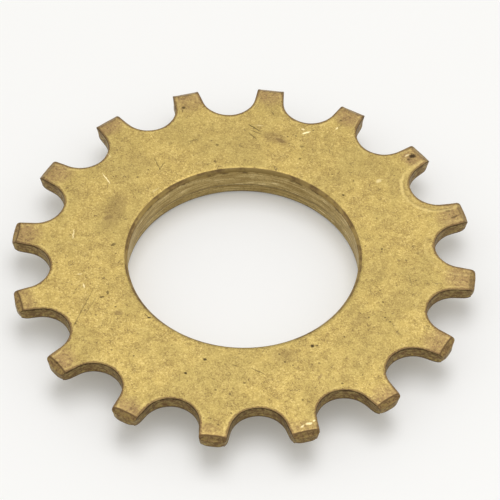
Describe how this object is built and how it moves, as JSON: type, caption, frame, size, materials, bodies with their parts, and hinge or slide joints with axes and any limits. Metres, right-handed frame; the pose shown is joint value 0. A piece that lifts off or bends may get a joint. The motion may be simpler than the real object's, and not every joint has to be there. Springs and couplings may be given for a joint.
{
  "type": "chain sprocket",
  "caption": "Flat brass chain sprocket with a wide plain bore, bevelled tooth tips and an integral spacer boss on its back.",
  "frame": {"origin": "on the bore's axis, at the boss's flat back face, which the part rests on", "axes": "+Z along the bore's axis, out of the front face; a tooth gap is centred on +X"},
  "size_m": [0.0682, 0.0682, 0.0053],
  "materials": {
    "brass": "old unlacquered brass, satin, mottled brown tarnish, fine pits and scratches, brighter worn edges"
  },
  "bodies": {
    "root": {"sprocket": "brass"}
  },
  "joints": []
}
